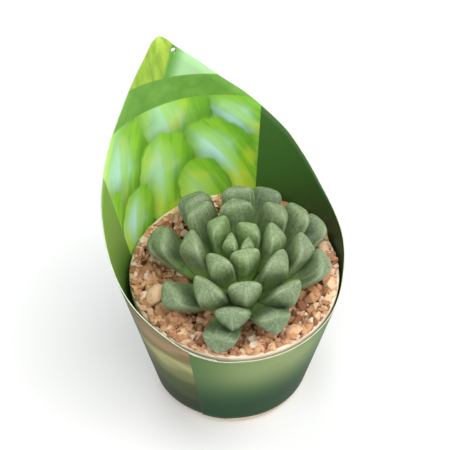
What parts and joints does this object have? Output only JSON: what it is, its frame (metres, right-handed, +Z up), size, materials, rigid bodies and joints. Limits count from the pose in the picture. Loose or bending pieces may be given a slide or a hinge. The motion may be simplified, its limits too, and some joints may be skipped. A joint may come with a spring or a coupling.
{
  "type": "potted coopers haworthia",
  "caption": "Small windowed-leaf succulent rosette in a plastic grower's pot, with grit top dressing and a tall leaf-shaped printed card sleeve.",
  "frame": {"origin": "middle of the pot's flat underside", "axes": "+Z up along the pot's axis; +Y from the pot's axis towards the sleeve's tall back; +X to the right of someone who faces the low front"},
  "size_m": [0.0955, 0.1025, 0.143],
  "materials": {
    "pot": "satin",
    "sleeve": "satin",
    "potting_soil": "matte",
    "gravel": "matte",
    "rosette": "satin"
  },
  "bodies": {
    "root": {"pot": "pot", "sleeve": "sleeve", "potting_soil": "potting_soil", "gravel": "gravel", "rosette": "rosette"}
  },
  "joints": []
}
